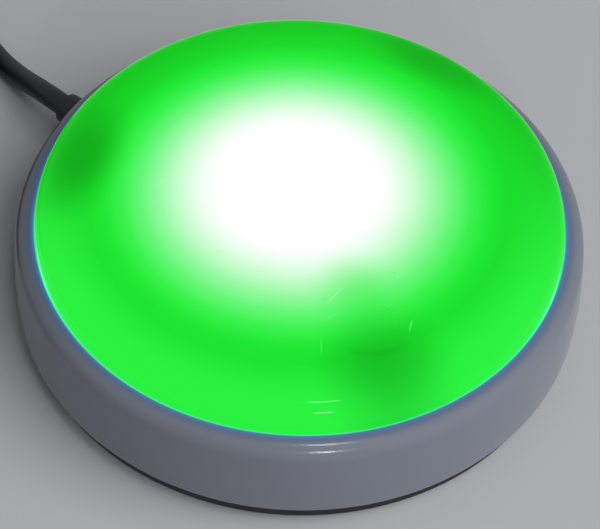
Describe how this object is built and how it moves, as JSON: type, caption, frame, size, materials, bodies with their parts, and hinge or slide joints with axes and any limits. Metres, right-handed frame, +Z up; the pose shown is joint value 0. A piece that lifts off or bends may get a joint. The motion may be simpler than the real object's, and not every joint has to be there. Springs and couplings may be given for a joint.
{
  "type": "usb push button",
  "caption": "Low round push button: a large translucent domed cap, lit green from inside, in a white ring housing on a black base, with a thin black lead and USB plug.",
  "frame": {"origin": "centre of the underside of the rubber foot, on the surface the button stands on", "axes": "+Z up, out of the cap; -Y towards the front as pictured; the cord leaves at 141 degrees from +X, anticlockwise seen from above"},
  "size_m": [0.1769, 0.1271, 0.0286],
  "materials": {
    "housing_white": "gloss",
    "cover_black": "satin",
    "foot_rubber": "matte",
    "cap_green": "gloss, translucent, lit from below",
    "board": "satin",
    "moulded_cream": "satin",
    "spring_steel": "satin",
    "switch_black": "satin",
    "led_white": "satin",
    "led_clear": "clear",
    "can_metal": "satin",
    "ceramic_tan": "matte",
    "wire_red": "satin",
    "wire_white": "satin",
    "wire_green": "satin",
    "wire_black": "satin",
    "screw_steel": "satin",
    "cord_black": "satin",
    "tie_black": "matte",
    "plug_steel": "polished",
    "plug_white": "satin",
    "contact_gold": "polished"
  },
  "bodies": {
    "base": {"upper_housing": "housing_white", "bottom_cover": "cover_black", "foot_ring": "foot_rubber", "circuit_board": "board", "spring_cup_a": "moulded_cream", "spring_cup_b": "moulded_cream", "spring_cup_c": "moulded_cream", "return_spring_a": "spring_steel", "return_spring_b": "spring_steel", "return_spring_c": "spring_steel", "switch_body_a": "switch_black", "switch_body_b": "switch_black", "switch_body_c": "switch_black", "led_package": "led_white", "led_dome": "led_clear", "controller_chip": "switch_black", "crystal_can": "can_metal", "electrolytic_capacitor": "can_metal", "ceramic_capacitors": "ceramic_tan", "chip_resistors": "switch_black", "board_header": "moulded_cream", "lead_connector": "moulded_cream", "lead_wire_red": "wire_red", "lead_wire_white": "wire_white", "lead_wire_green": "wire_green", "lead_wire_black": "wire_black", "lead_jacket": "cord_black", "cord_clamp": "moulded_cream", "clamp_screws": "screw_steel", "board_screws": "screw_steel", "cover_screws": "screw_steel", "cord_grommet": "cord_black", "cord": "cord_black", "cord_coil": "cord_black", "cord_tail": "cord_black", "coil_tie": "tie_black", "plug_relief": "cord_black", "plug_grip": "cord_black", "plug_shell": "plug_steel", "plug_tongue": "plug_white", "plug_contacts": "contact_gold"},
    "cap": {"lens_cap": "cap_green"},
    "plunger_a": {"switch_plunger_a": "switch_black"},
    "plunger_b": {"switch_plunger_b": "switch_black"},
    "plunger_c": {"switch_plunger_c": "switch_black"}
  },
  "joints": [
    {"name": "cap_press", "type": "slide", "parent": "base", "child": "cap", "axis": [0, 0, 1], "range_m": [-0.0025, 0], "stiffness_N_per_m": 1200, "springref_m": 0.0015, "deforming": ["return_spring_a", "return_spring_b", "return_spring_c"]},
    {"name": "plunger_a_slide", "type": "slide", "parent": "base", "child": "plunger_a", "axis": [0, 0, 1], "range_m": [-0.00025, 0]},
    {"name": "plunger_b_slide", "type": "slide", "parent": "base", "child": "plunger_b", "axis": [0, 0, 1], "range_m": [-0.00025, 0]},
    {"name": "plunger_c_slide", "type": "slide", "parent": "base", "child": "plunger_c", "axis": [0, 0, 1], "range_m": [-0.00025, 0]}
  ],
  "couplings": [
    {"joint": "plunger_a_slide", "follows": "cap_press", "ratio": 0.1},
    {"joint": "plunger_b_slide", "follows": "cap_press", "ratio": 0.1},
    {"joint": "plunger_c_slide", "follows": "cap_press", "ratio": 0.1}
  ]
}
